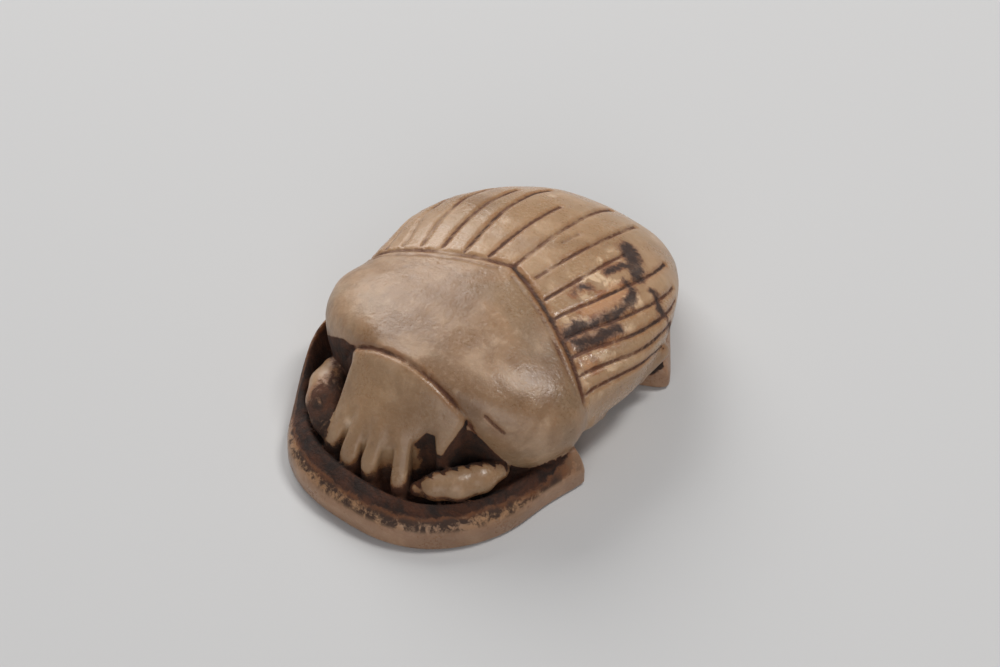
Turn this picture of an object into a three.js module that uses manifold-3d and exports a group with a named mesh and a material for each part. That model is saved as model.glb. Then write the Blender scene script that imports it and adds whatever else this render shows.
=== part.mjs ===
// Scarab amulet, carved in one piece from pale stone.
// Millimetres. Head towards -Y, tail towards +Y, back up (+Z).
// Origin: centre of the flat underside.
import * as THREE from 'three';
import { mergeVertices } from 'three/addons/utils/BufferGeometryUtils.js';
import Module from 'manifold-3d';

const wasm = await Module();
wasm.setup();

// ---------------------------------------------------------------- sizes
const LENGTH = 18.1;            // base, tip to tip
const BASE_HALF_WIDTH = 6.12;   // base at its widest
const BASE_POWER = 2.5;        // roundness of the oval (2 is an ellipse)
const LEAN = -0.06;             // the front half leans this far to +X, as hand carving does
const EDGE_HEIGHT = 0.95;       // upright part of the base edge
const LEDGE_HEIGHT = 1.65;      // top of the rim in front and beside the head
const SIDE_RISE = 0.7;          // the rim climbs this much towards the fore back on the -X side
const TAIL_EDGE_HEIGHT = 1.25;  // top of the rim behind
const RIM_ROUND = 0.6;          // how far the rim rounds inward at the very front
const TAIL_NARROWING = 0.22;     // the tail half is this much narrower than the front half
const WAIST_HALF_WIDTH = 4.25;  // base narrowed under the flanks
const WAIST_FROM = -1.5;        // start and end of the narrowing, along Y
const WAIST_TO = 3.35;
const WAIST_SOFT = 0.6;

const BACK_POWER = 2.1;         // cross-section of the back
const BELLY = 4.2;              // how quickly the flank tucks in below its widest level
// stations along Y: half-width, top of the back, widest level
const BACK_Y = [-5.35, -5.2, -4.9, -4.55, -4.1, -3.2, -2.2, -1.1, 0.2, 1.6, 3.2, 5.0, 6.6, 7.8, 8.45, 8.75];
const BACK_W = [0.0, 1.9, 3.2, 4.15, 4.8, 5.48, 5.78, 5.6, 5.74, 5.88, 5.62, 4.95, 4.0, 2.9, 1.7, 0.0];
const BACK_T = [3.5, 4.75, 5.14, 5.26, 5.35, 5.44, 5.48, 5.46, 5.38, 5.28, 5.14, 4.74, 4.1, 3.2, 2.45, 1.9];
const BACK_Z = [3.3, 3.35, 3.35, 3.35, 3.35, 3.35, 3.35, 3.35, 3.35, 3.35, 3.3, 3.0, 2.6, 2.2, 1.95, 1.8];

const HEAD_Y = [4.6, 4.95, 6.32, 7.3, 7.75, 8.2];   // head slope, distance forward and height
const HEAD_T = [5.26, 5.18, 3.82, 2.66, 2.0, 1.2];
const HEAD_CROWN = [0.125, 0.19];  // how fast the head falls away to its sides, rear and front
const HEAD_HALF_REAR = 2.85;
const TEETH = [                 // finger-like teeth: root x, root y, tip x, tip y, half-width
  [-1.5, -6.1, -1.82, -7.15, 0.46],
  [-0.8, -6.4, -0.72, -7.5, 0.43],
  [0.12, -6.4, 0.22, -7.45, 0.39],
  [0.95, -6.2, 1.5, -7.35, 0.36],
];
const MOAT_INSET = 0.85;         // recess behind the rim
const MOAT_FLOOR = 1.15;
const LEG_RADIUS = 0.72;

const GROOVE_HALF = 0.17;       // carved lines
const GROOVE_DEPTH = 0.22;
const FINE_HALF = 0.12;
const FINE_DEPTH = 0.13;

// ---------------------------------------------------------------- helpers
const clamp = (v, a, b) => Math.min(b, Math.max(a, v));
const smooth = (a, b, v) => { const t = clamp((v - a) / (b - a), 0, 1); return t * t * (3 - 2 * t); };  // from a (0) to b (1), either way round

// monotone cubic through stations
function stations(xs, ys) {
  const n = xs.length, h = [], d = [], m = new Array(n).fill(0);
  for (let i = 0; i < n - 1; i++) { h.push(xs[i + 1] - xs[i]); d.push((ys[i + 1] - ys[i]) / h[i]); }
  for (let i = 1; i < n - 1; i++) {
    if (d[i - 1] * d[i] > 0) {
      const a = 2 * h[i] + h[i - 1], b = h[i] + 2 * h[i - 1];
      m[i] = (a + b) / (a / d[i - 1] + b / d[i]);
    }
  }
  m[0] = d[0]; m[n - 1] = d[n - 2];
  return (x) => {
    x = clamp(x, xs[0], xs[n - 1]);
    let i = 0; while (i < n - 2 && x > xs[i + 1]) i++;
    const t = (x - xs[i]) / h[i], t2 = t * t, t3 = t2 * t;
    return ys[i] * (2 * t3 - 3 * t2 + 1) + h[i] * m[i] * (t3 - 2 * t2 + t)
      + ys[i + 1] * (-2 * t3 + 3 * t2) + h[i] * m[i + 1] * (t3 - t2);
  };
}
const backW = stations(BACK_Y, BACK_W), backT = stations(BACK_Y, BACK_T), backZ = stations(BACK_Y, BACK_Z);
const headT = stations(HEAD_Y, HEAD_T);

function solid(geometry) {
  const g = geometry.index ? geometry.clone() : geometry.clone();
  g.deleteAttribute('normal'); g.deleteAttribute('uv');
  const m = mergeVertices(g, 1e-5);
  return new wasm.Manifold(new wasm.Mesh({
    numProp: 3,
    vertProperties: new Float32Array(m.attributes.position.array),
    triVerts: new Uint32Array(m.index.array),
  }));
}
function reshape(geometry, place) {
  const g = geometry.clone();
  g.deleteAttribute('normal'); g.deleteAttribute('uv');
  const m = mergeVertices(g, 1e-5), p = m.attributes.position, v = new THREE.Vector3();
  for (let i = 0; i < p.count; i++) {
    v.fromBufferAttribute(p, i); place(v); p.setXYZ(i, v.x, v.y, v.z);
  }
  return m;
}

// ---------------------------------------------------------------- base
function baseHalf(y) {
  const full = BASE_HALF_WIDTH * (1 - TAIL_NARROWING * smooth(3, 7, y)) * Math.pow(Math.max(0, 1 - Math.pow(Math.abs(2 * y / LENGTH), BASE_POWER)), 1 / BASE_POWER);
  const k = smooth(WAIST_FROM - WAIST_SOFT, WAIST_FROM + WAIST_SOFT, y)
    * (1 - smooth(WAIST_TO - WAIST_SOFT, WAIST_TO + WAIST_SOFT, y));
  return full + k * (Math.min(full, WAIST_HALF_WIDTH) - full);
}
const lean = (y) => LEAN * (1 - smooth(-5, 0, y));
const rimTop = (y, x = 0) => LEDGE_HEIGHT + (TAIL_EDGE_HEIGHT - LEDGE_HEIGHT) * smooth(0, 5, y)
  + SIDE_RISE * smooth(-6.4, -3.8, y) * (1 - smooth(-1, 2, y)) * smooth(1, -3, x);
function outline(angle) {                 // a point of the oval, anticlockwise from +X
  const y = LENGTH / 2 * Math.sign(Math.sin(angle)) * Math.pow(Math.abs(Math.sin(angle)), 2 / BASE_POWER);
  const x = Math.sign(Math.cos(angle)) * baseHalf(y);
  return new THREE.Vector2(x, y);
}
function inset(angle, d) {                // the same, moved inward
  const e = 1e-3, p = outline(angle), t = outline(angle + e).sub(outline(angle - e)).normalize();
  return new THREE.Vector2(p.x - t.y * d, p.y + t.x * d);
}
// edge profile: inward distance, height
const EDGE = [[0.2, 0], [0.03, 0.2], [0, 0.55], [0.02, EDGE_HEIGHT],
  [0.2, 0.45], [0.55, 0.86], [1, 1]];     // the last three: share of the rounding, share of the rise
const EDGE_UPRIGHT = 4;
const RINGS = EDGE.length;
const profile = [new THREE.Vector2(0, 0), ...EDGE.map((e, i) => new THREE.Vector2(1 + 0.01 * (RINGS - i), i + 1)),
  new THREE.Vector2(0, RINGS)];
const BASE_STEPS = 96;
// outline angles at even steps along the edge
const fine = [0];
for (let i = 1; i <= 1440; i++) {
  const a = outline(2 * Math.PI * (i - 1) / 1440), b = outline(2 * Math.PI * i / 1440);
  fine.push(fine[i - 1] + a.distanceTo(b));
}
function evenAngle(share) {
  const s = (share - Math.floor(share)) * fine[1440];
  let i = 1; while (i < 1440 && fine[i] < s) i++;
  return 2 * Math.PI * (i - 1 + (s - fine[i - 1]) / Math.max(1e-9, fine[i] - fine[i - 1])) / 1440;
}
const baseGeometry = reshape(new THREE.LatheGeometry(profile, BASE_STEPS), (v) => {
  const r = Math.hypot(v.x, v.z), level = Math.round(v.y);
  if (r < 0.5) { v.set(0, 0, level === 0 ? 0 : rimTop(0)); return; }
  const angle = evenAngle(Math.atan2(v.x, v.z) / (2 * Math.PI));
  let [d, z] = EDGE[level - 1];
  if (level > EDGE_UPRIGHT) {
    const { x, y } = outline(angle);
    d = 0.02 + d * RIM_ROUND * (0.4 + 0.6 * Math.pow(Math.max(0, -Math.sin(angle)), 3) + 0.4 * Math.max(0, Math.sin(angle)));
    z = EDGE_HEIGHT + z * (rimTop(y, x) - EDGE_HEIGHT);
  }
  const p = inset(angle, d);
  v.set(p.x, p.y, z);
});
let base = solid(baseGeometry);
if (base.volume() < 0) throw new Error('base is inside out');

// recess around the head, behind the rim
const moatShape = new THREE.Shape();
for (let i = 0; i <= 40; i++) {
  const a = -Math.PI + 0.42 + (Math.PI - 0.84) * i / 40;
  const p = inset(a, MOAT_INSET);
  if (i === 0) moatShape.moveTo(p.x, p.y); else moatShape.lineTo(p.x, p.y);
}
moatShape.closePath();
const moat = new THREE.ExtrudeGeometry(moatShape, { depth: 3, bevelEnabled: true, bevelThickness: 0.25, bevelSize: 0.22, bevelOffset: -0.22, bevelSegments: 1, steps: 1 });
moat.translate(0, 0, MOAT_FLOOR + 0.25);
base = base.subtract(solid(moat));

// ---------------------------------------------------------------- back
const signedPow = (v, p) => Math.sign(v) * Math.pow(Math.abs(v), p);
const BACK_ROUND = 56, BACK_LONG = 44;
const Y0 = BACK_Y[0], Y1 = BACK_Y[BACK_Y.length - 1];
const backGeometry = reshape(new THREE.SphereGeometry(1, BACK_ROUND, BACK_LONG), (v) => {
  // the sphere's poles become the front and tail ends
  const t = Math.acos(clamp(v.y, -1, 1)) / Math.PI;      // 0 at the tail
  const s = 0.5 + 0.5 * Math.cos(Math.PI * t) * (1 - 0.25 * Math.pow(Math.sin(Math.PI * t), 2));
  const y = Y0 + (Y1 - Y0) * s;
  const r = Math.hypot(v.x, v.z) || 1, c = v.x / r, n = v.z / r;
  const pole = Math.hypot(v.x, v.z) < 1e-6;
  const z0 = backZ(y), up = backT(y) - z0;
  const k = pole ? 0 : 1;
  const z = n >= 0 ? up * signedPow(n, 2 / BACK_POWER) : Math.max(BELLY * signedPow(n, 2 / BACK_POWER), -(z0 - 0.4));
  v.set(k * backW(y) * signedPow(c, 2 / BACK_POWER), y, z0 + k * z);
});
let back = solid(backGeometry);
if (back.volume() < 0) back = solid(flip(backGeometry));
function flip(g) {
  const h = g.clone(), a = h.index.array;
  for (let i = 0; i < a.length; i += 3) { const t = a[i]; a[i] = a[i + 1]; a[i + 1] = t; }
  return h;
}
// a point of the back: u = 1 on the midline, 0 at the widest level, below 0 under it; side is -1 or 1
function backPoint(side, u, y) {
  const a = u * Math.PI / 2, z0 = backZ(y);
  return new THREE.Vector3(side * backW(y) * Math.pow(Math.max(0, Math.cos(a)), 2 / BACK_POWER), y,
    z0 + (a > 0 ? backT(y) - z0 : BELLY) * signedPow(Math.sin(a), 2 / BACK_POWER));
}
// share u of a point x to the side of the midline
const shareAt = (x, y) => Math.acos(Math.pow(Math.min(1, Math.abs(x) / backW(y)), BACK_POWER / 2)) / (Math.PI / 2);

// ---------------------------------------------------------------- head
const headTop = (x, y) => headT(-y) - (HEAD_CROWN[0] + (HEAD_CROWN[1] - HEAD_CROWN[0]) * (1 - smooth(-6.8, -5.2, y))) * x * x;
const headBlock = solid(reshape(new THREE.BoxGeometry(7, 5, 1, 16, 16, 1), (v) => {
  const x = v.x, y = v.y - 6.0;
  v.set(x, y, v.z > 0 ? headTop(x, y) : 0.6);
}));
function prism(points, z0, z1, bevel = 0) {
  const s = new THREE.Shape(points.map((p) => new THREE.Vector2(p[0], p[1])));
  const g = new THREE.ExtrudeGeometry(s, { depth: z1 - z0, bevelEnabled: false, steps: 1 });
  g.translate(0, 0, z0);
  return solid(g);
}
function capsule2(ax, ay, bx, by, r, n = 6) {   // outline of a rounded bar seen from above
  const d = Math.atan2(by - ay, bx - ax), pts = [];
  for (let i = 0; i <= n; i++) { const t = d - Math.PI / 2 + Math.PI * i / n; pts.push([bx + r * Math.cos(t), by + r * Math.sin(t)]); }
  for (let i = 0; i <= n; i++) { const t = d + Math.PI / 2 + Math.PI * i / n; pts.push([ax + r * Math.cos(t), ay + r * Math.sin(t)]); }
  return pts;
}
const headPlan = [[-2.6, -4.2], [-2.6, -4.95], [-2.3, -5.45], [-2.25, -5.9], [-2.2, -6.8], [-1.3, -7.05], [-0.3, -7.2], [0.6, -7.1],
  [1.1, -6.85], [1.35, -6.5], [1.75, -6.02], [2.05, -5.93], [2.3, -6.2], [2.55, -6.1], [2.75, -5.5], [HEAD_HALF_REAR, -4.9], [HEAD_HALF_REAR, -4.2]];
let headOutline = prism(headPlan, 0.6, 6);
for (const [ax, ay, bx, by, r] of TEETH) headOutline = headOutline.add(prism(capsule2(ax, ay, bx, by, r), 0.6, 6));
const head = headOutline.intersect(headBlock);

// ---------------------------------------------------------------- forelegs, bent bars lying in the recess
function bar(path, r0, r1, squash = 1, seg = 12) {
  const curve = new THREE.CatmullRomCurve3(path.map((p) => new THREE.Vector3(...p)));
  const g = reshape(new THREE.SphereGeometry(1, 10, seg), (v) => {
    const t = 0.5 - 0.5 * v.y, p = curve.getPoint(clamp(t, 0, 1)), d = curve.getTangent(clamp(t, 0, 1));
    const side = new THREE.Vector3(d.y, -d.x, 0).normalize();
    const r = (r0 + (r1 - r0) * t) * Math.pow(Math.max(0, 1 - Math.pow(Math.abs(2 * t - 1), 5)), 0.5);
    const q = Math.hypot(v.x, v.z) || 1;
    v.set(p.x + side.x * r * v.x / q, p.y + side.y * r * v.x / q, p.z + squash * r * v.z / q);
  });
  let m = solid(g);
  if (m.volume() < 0) m = solid(flip(g));
  return m;
}
const foreleg = (s) => bar([[s * 1.75, -7.05, 1.75], [s * 3.0, -6.5, 1.95], [s * 3.85, -5.6, 2.0], [s * 4.4, -4.6, 1.9]], 0.5, LEG_RADIUS, 0.85);

// middle and hind legs, low ridges on the tucked-in flanks
const middleLeg = (s) => bar([[s * 5.2, -1.1, 2.3], [s * 4.85, 0.1, 1.45], [s * 4.35, 1.3, 0.65]], 0.42, 0.34, 1, 8);
const hindLeg = (s) => bar([[s * 5.3, 3.5, 2.2], [s * 4.95, 2.5, 1.45], [s * 4.4, 1.5, 0.7]], 0.44, 0.34, 1, 8);

// ---------------------------------------------------------------- carved lines on the back
// each line is a list of [side, u, y]; u below the midline share as for backPoint
function cutLine(points, half, depth, step = 0.8) {
  const pts = points.map(([side, u, y]) => backPoint(side, u, y));
  let length = 0;
  for (let i = 1; i < pts.length; i++) length += pts[i].distanceTo(pts[i - 1]);
  const seg = Math.max(3, Math.round(length / step)), n = points.length - 1;
  const at = (t) => {
    const k = clamp(t, 0, 1) * n, i = Math.min(n - 1, Math.floor(k)), f = k - i;
    return points[i].map((c, j) => c + (points[i + 1][j] - c) * f);
  };
  return solid(reshape(new THREE.BoxGeometry(1, 1, 1, seg, 1, 1), (v) => {
    const t = clamp(v.x + 0.5, 0, 1), [side, u, y] = at(t), e = 0.01;
    const P = backPoint(side, u, y);
    const A = backPoint(side, u + e, y).sub(backPoint(side, u - e, y)), B = backPoint(side, u, y + e).sub(backPoint(side, u, y - e));
    const N = new THREE.Vector3().crossVectors(B, A).multiplyScalar(side).normalize();
    if (N.z < 0 && u > 0.3) N.negate();
    const p0 = at(t - 0.02), p1 = at(t + 0.02);
    const D = backPoint(...p1).sub(backPoint(...p0)).normalize();
    const S = new THREE.Vector3().crossVectors(N, D).normalize();
    const fade = 0.4 + 0.6 * Math.min(1, 6 * Math.min(t, 1 - t));
    if (v.z > 0) P.addScaledVector(N, 0.3).addScaledVector(S, v.y * 2 * half * 2.3);
    else P.addScaledVector(N, -depth * fade).addScaledVector(S, v.y * 0.08);
    v.copy(P);
  }));
}
const SHOULDER_Y = 1.19;        // where the wing cases meet the fore back on the midline
const shoulder = (side, x) => SHOULDER_Y - (side > 0 ? 0.36 * x + 0.024 * x * x : 0.29 * x + 0.014 * x * x);
const lines = [];
for (const s of [-1, 1]) {
  const pts = [];
  for (let i = 0; i <= 7; i++) { const x = 0.02 + 5.45 * i / 7, y = shoulder(s, x); pts.push([s, shareAt(x, y), y]); }
  lines.push(cutLine(pts, GROOVE_HALF, GROOVE_DEPTH));
}
lines.push(cutLine([[1, 0.995, 1.1], [1, 0.995, 3], [1, 0.995, 5], [1, 0.98, 7.4]], GROOVE_HALF, GROOVE_DEPTH));
// wing-case grooves: side, share at the shoulder, share at the end, y at the end
const STRIAE = [[-1, 0.895, 0.87, 5.5], [-1, 0.79, 0.63, 6.5], [-1, 0.68, 0.54, 5.5], [-1, 0.565, 0.33, 5.4], [-1, 0.45, 0.12, 5.0], [-1, 0.31, 0.0, 4.4],
  [1, 0.895, 0.75, 7.2], [1, 0.79, 0.68, 4.9], [1, 0.69, 0.38, 6.0], [1, 0.57, 0.2, 5.4], [1, 0.46, 0.06, 5.1], [1, 0.33, 0.0, 3.9], [1, 0.18, -0.09, 3.3]];
for (const [s, ua, ub, ye] of STRIAE) {
  const xa = Math.abs(backPoint(s, ua, 0.3).x), ya = shoulder(s, xa) + 0.28;
  const pts = [];
  for (let i = 0; i <= 4; i++) { const t = i / 4; pts.push([s, ua + (ub - ua) * Math.pow(t, 1.35), ya + (ye - ya) * t]); }
  lines.push(cutLine(pts, FINE_HALF, FINE_DEPTH, 1.0));
}
for (const l of lines) back = back.subtract(l);

// ---------------------------------------------------------------- one stone
let body = base.add(back).add(head);
for (const s of [-1, 1]) body = body.add(foreleg(s)).add(middleLeg(s)).add(hindLeg(s));
const mesh = body.getMesh();
const where = new Float32Array(mesh.vertProperties);
for (let i = 0; i < where.length; i += 3) where[i] += lean(where[i + 1]);
const geometry = new THREE.BufferGeometry();
geometry.setAttribute('position', new THREE.BufferAttribute(where, 3));
geometry.setIndex(new THREE.BufferAttribute(new Uint32Array(mesh.triVerts), 1));
geometry.computeVertexNormals();

const stone = new THREE.MeshStandardMaterial({ color: 0xb3a184, roughness: 0.45, metalness: 0 });
const scarab = new THREE.Mesh(geometry, stone);
scarab.name = 'scarab';

const amulet = new THREE.Group();
amulet.name = 'scarab_amulet';
amulet.add(scarab);
export default amulet;
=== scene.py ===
import math

import bpy
import numpy as np
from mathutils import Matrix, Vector


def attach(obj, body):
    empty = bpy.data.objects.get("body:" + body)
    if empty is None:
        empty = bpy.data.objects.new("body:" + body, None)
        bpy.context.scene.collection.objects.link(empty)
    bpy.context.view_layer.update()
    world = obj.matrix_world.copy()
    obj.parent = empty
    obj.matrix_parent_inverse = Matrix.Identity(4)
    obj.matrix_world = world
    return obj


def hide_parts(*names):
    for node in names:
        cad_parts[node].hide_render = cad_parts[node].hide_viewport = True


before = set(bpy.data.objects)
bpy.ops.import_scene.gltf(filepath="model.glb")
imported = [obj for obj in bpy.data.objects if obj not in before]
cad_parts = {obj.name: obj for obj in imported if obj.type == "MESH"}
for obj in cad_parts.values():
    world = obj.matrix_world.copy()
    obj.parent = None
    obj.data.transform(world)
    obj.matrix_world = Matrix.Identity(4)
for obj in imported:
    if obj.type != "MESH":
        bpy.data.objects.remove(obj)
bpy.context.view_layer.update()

MM = 0.001

# Carved scarab amulet: one stone. Head towards -Y, tail towards +Y, +Z up; the field below is in millimetres.
# ------------------------------------------------------------------ sizes (mm)
LENGTH = 18.1
BASE_HALF_WIDTH = 6.12
BASE_POWER = 2.5
LEAN = -0.06
EDGE_HEIGHT = 0.95
LEDGE_HEIGHT = 1.65
SIDE_RISE = 0.7
TAIL_EDGE_HEIGHT = 1.25
TAIL_NARROWING = 0.22
WAIST_HALF_WIDTH = 4.25
WAIST_FROM, WAIST_TO, WAIST_SOFT = -1.5, 3.35, 0.6
MOAT_FLOOR = 1.12
BACK_POWER = 2.1
BELLY = 4.2
BACK_Y = [-5.35, -5.2, -4.9, -4.55, -4.1, -3.2, -2.2, -1.1, 0.2, 1.6, 3.2, 5.0, 6.6, 7.8, 8.45, 8.75]
BACK_W = [0.0, 1.9, 3.2, 4.15, 4.8, 5.48, 5.78, 5.6, 5.74, 5.88, 5.62, 4.95, 4.0, 2.9, 1.7, 0.0]
BACK_T = [3.5, 4.75, 5.14, 5.26, 5.35, 5.44, 5.48, 5.46, 5.38, 5.28, 5.14, 4.74, 4.1, 3.2, 2.45, 1.9]
BACK_Z = [3.3, 3.35, 3.35, 3.35, 3.35, 3.35, 3.35, 3.35, 3.35, 3.35, 3.3, 3.0, 2.6, 2.2, 1.95, 1.8]
HEAD_Y = [4.6, 4.95, 6.32, 7.3, 7.75, 8.2]
HEAD_T = [5.26, 5.18, 3.82, 2.66, 2.0, 1.2]
TEETH = [(-1.5, -6.1, -1.82, -7.15, 0.46), (-0.8, -6.4, -0.72, -7.5, 0.43),
         (0.12, -6.4, 0.22, -7.45, 0.39), (0.95, -6.2, 1.5, -7.35, 0.36)]
HEAD_PLAN = [(-2.6, -4.2), (-2.6, -4.95), (-2.3, -5.45), (-2.25, -5.9), (-2.2, -6.8), (-1.3, -7.05), (-0.3, -7.2), (0.6, -7.1), (1.1, -6.85),
             (1.35, -6.5), (1.55, -6.38), (1.75, -6.02), (2.05, -5.93), (2.3, -6.2), (2.55, -6.1), (2.75, -5.5), (2.85, -4.9), (2.85, -4.2)]
SHOULDER_Y = 1.19


def sm(a, b, v):
    t = np.clip((v - a) / (b - a), 0.0, 1.0)
    return t * t * (3 - 2 * t)


def stations(xs, ys):
    xs = np.array(xs, float); ys = np.array(ys, float)
    h = np.diff(xs); d = np.diff(ys) / h
    m = np.zeros(len(xs)); m[0] = d[0]; m[-1] = d[-1]
    for i in range(1, len(xs) - 1):
        if d[i - 1] * d[i] > 0:
            a = 2 * h[i] + h[i - 1]; b = h[i] + 2 * h[i - 1]
            m[i] = (a + b) / (a / d[i - 1] + b / d[i])

    def f(x):
        x = np.clip(x, xs[0], xs[-1])
        i = np.clip(np.searchsorted(xs, x) - 1, 0, len(xs) - 2)
        t = (x - xs[i]) / h[i]; t2 = t * t; t3 = t2 * t
        return (ys[i] * (2 * t3 - 3 * t2 + 1) + h[i] * m[i] * (t3 - 2 * t2 + t)
                + ys[i + 1] * (-2 * t3 + 3 * t2) + h[i] * m[i + 1] * (t3 - t2))
    return f


# tables on a fine ruler, for speed
RULER = np.linspace(-9.6, 9.6, 3841)
_bw = stations(BACK_Y, BACK_W)(RULER); _bt = stations(BACK_Y, BACK_T)(RULER); _bz = stations(BACK_Y, BACK_Z)(RULER)
_bw = np.maximum(_bw, 0.02)
_ht = stations(HEAD_Y, HEAD_T)(-RULER)


def look(tab, y):
    return np.interp(y, RULER, tab)


def _base_table():
    y = RULER
    k = sm(WAIST_FROM - WAIST_SOFT, WAIST_FROM + WAIST_SOFT, y) * (1 - sm(WAIST_TO - WAIST_SOFT, WAIST_TO + WAIST_SOFT, y))
    root = np.clip(1 - np.abs(2 * y / LENGTH) ** BASE_POWER, 1e-9, None) ** (1 / BASE_POWER)
    full = BASE_HALF_WIDTH * (1 - TAIL_NARROWING * sm(3, 7, y))
    narrow = np.minimum(full, WAIST_HALF_WIDTH / root)
    return full + k * (narrow - full)


_ba = _base_table()
_dba = np.gradient(_ba, RULER)


def outline_distance(x, y):
    """signed distance to the base's oval, positive outside"""
    A = look(_ba, y); dA = look(_dba, y); B = LENGTH / 2; n = BASE_POWER
    u = np.abs(x) / A; v = np.abs(y) / B
    k = u ** n + v ** n + 1e-9
    kk = k ** (1 / n)
    c = k ** (1 / n - 1)
    gx = c * u ** (n - 1) / A
    gy = c * (v ** (n - 1) / B * np.sign(y) - u ** n * dA / A)
    g = np.sqrt(gx * gx + gy * gy) + 0.03
    return (kk - 1) / g


def rmax(a, b, r):
    u = np.maximum(r + a, 0); v = np.maximum(r + b, 0)
    return np.minimum(-r, np.maximum(a, b)) + np.sqrt(u * u + v * v)


def smin(a, b, k):
    h = np.clip(0.5 + 0.5 * (b - a) / k, 0, 1)
    return b + (a - b) * h - k * h * (1 - h)


def rim_top(x, y):
    return (LEDGE_HEIGHT + (TAIL_EDGE_HEIGHT - LEDGE_HEIGHT) * sm(0, 5, y)
            + SIDE_RISE * sm(-6.4, -3.8, y) * (1 - sm(-1, 2, y)) * sm(1, -3, x))


def base_field(x, y, z):
    d = outline_distance(x, y)
    i = -d
    rt = rim_top(x, y)
    s = np.clip(-y / 9.05, 0, 1); t = np.clip(y / 9.05, 0, 1)
    front = sm(-1.4, -3.2, y)
    width = 0.16 + 0.36 * (0.4 + 0.6 * s ** 3 + 0.4 * t) / 0.6 + 0.1 * front
    width = width - 0.26 * sm(-2.5, -4.0, x) * sm(-7.2, -6.0, y) * front
    # hand-cut unevenness of the outline
    d = d + 0.2 * np.exp(-((x + 4.7) ** 2 + (y + 6.5) ** 2) / 2.4) + 0.2 * np.exp(-((x - 5.6) ** 2 + (y + 3.7) ** 2) / 2.2)
    i = -d
    share = 1 - (1 - np.clip(i / width, 0, 1)) ** 1.7
    edge = EDGE_HEIGHT - 0.1
    floor = MOAT_FLOOR + 0.25 * sm(-6.5, -3.5, y)
    top = edge + (rt - edge) * share
    top = top - (rt - floor) * sm(width - 0.05, width + 0.45, i) * front
    top = top - 0.14 * sm(0.35, 0.9, i) * (1 - front)
    f = rmax(d, (z - top) / 1.45, 0.14)
    return rmax(f, -z, 0.16)


def back_field(x, y, z, grad=False):
    W = look(_bw, y); T = look(_bt, y); Z = look(_bz, y)
    n = BACK_POWER
    H = np.where(z > Z, np.maximum(T - Z, 0.05), BELLY)
    u = np.abs(x) / W; v = np.abs(z - Z) / H
    k = u ** n + v ** n + 1e-9
    kk = k ** (1 / n); c = k ** (1 / n - 1)
    e = 0.05
    W2 = look(_bw, y + e); T2 = look(_bt, y + e); Z2 = look(_bz, y + e)
    H2 = np.where(z > Z, np.maximum(T2 - Z2, 0.05), BELLY)
    k2 = (np.abs(x) / W2) ** n + (np.abs(z - Z2) / H2) ** n + 1e-9
    gy = (k2 ** (1 / n) - kk) / e
    gx = c * u ** (n - 1) / W; gz = c * v ** (n - 1) / H
    g = np.sqrt(gx * gx + gy * gy + gz * gz) + 0.02
    f = (kk - 1) / g
    f = np.where(kk > 1.15, np.maximum(f, 0.7 * np.maximum(np.abs(x) - W, z - T)), f)
    f = np.where(y < BACK_Y[0], np.maximum(f, BACK_Y[0] - y), f)
    f = np.where(y > BACK_Y[-1], np.maximum(f, y - BACK_Y[-1]), f)
    return f


def polygon_distance(x, y, pts):
    pts = np.array(pts, float); n = len(pts)
    d = np.full(x.shape, 1e9); s = np.ones(x.shape)
    j = n - 1
    for i in range(n):
        ex, ey = pts[j] - pts[i]
        wx = x - pts[i][0]; wy = y - pts[i][1]
        t = np.clip((wx * ex + wy * ey) / (ex * ex + ey * ey), 0, 1)
        bx = wx - ex * t; by = wy - ey * t
        d = np.minimum(d, bx * bx + by * by)
        c1 = y >= pts[i][1]; c2 = y < pts[j][1]; c3 = ex * wy > ey * wx
        flip = (c1 & c2 & c3) | (~c1 & ~c2 & ~c3)
        s = np.where(flip, -s, s)
        j = i
    return s * np.sqrt(d)


def bar2(x, y, ax, ay, bx, by, ra, rb):
    ex = bx - ax; ey = by - ay
    t = np.clip(((x - ax) * ex + (y - ay) * ey) / (ex * ex + ey * ey), 0, 1)
    return np.hypot(x - ax - ex * t, y - ay - ey * t) - (ra + (rb - ra) * t)


def head_top(x, y):
    crown = 0.125 + (0.19 - 0.125) * (1 - sm(-6.8, -5.2, y))
    return look(_ht, y) - crown * x * x


def head_field(x, y, z):
    d = polygon_distance(x, y, HEAD_PLAN)
    for ax, ay, bx, by, r in TEETH:
        d = smin(d, bar2(x, y, ax, ay, bx, by, r * 1.02, r * 0.92), 0.1)
    top = head_top(x, y)
    # short valleys running up from the gaps, and rounded crowns on the teeth
    for gx, gy, hx, hy in ((-1.3, -7.2, -1.05, -6.3), (-0.3, -7.3, -0.25, -6.4), (0.68, -7.2, 0.6, -6.5)):
        b = bar2(x, y, gx, gy, hx, hy, 0.0, 0.0)
        top = top - 0.12 * sm(hy, gy, y) * np.exp(-(b / 0.16) ** 2)
    for ax, ay, bx, by, r in TEETH:
        b = bar2(x, y, ax, ay, bx, by, 0.0, 0.0)
        top = top + 0.07 * np.exp(-(b / 0.3) ** 2) * sm(-6.3, -7.0, y)
    top = top - 0.10 * np.exp(-((x + 0.3) / 1.0) ** 2 - ((y + 5.75) / 0.45) ** 2)
    return rmax(d, (z - top) / 1.35, 0.17)


def bar3(P, path, radii, squash=1.0):
    """bent bar along straight stretches, radius per point"""
    x, y, z = P
    best = np.full(x.shape, 1e9)
    for k in range(len(path) - 1):
        a = np.array(path[k]); b = np.array(path[k + 1]); e = b - a
        t = np.clip(((x - a[0]) * e[0] + (y - a[1]) * e[1] + (z - a[2]) * e[2]) / (e @ e), 0, 1)
        dx = x - a[0] - e[0] * t; dy = y - a[1] - e[1] * t; dz = (z - a[2] - e[2] * t) / squash
        best = smin(best, np.sqrt(dx * dx + dy * dy + dz * dz) - (radii[k] + (radii[k + 1] - radii[k]) * t), 0.12)
    return best


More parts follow.
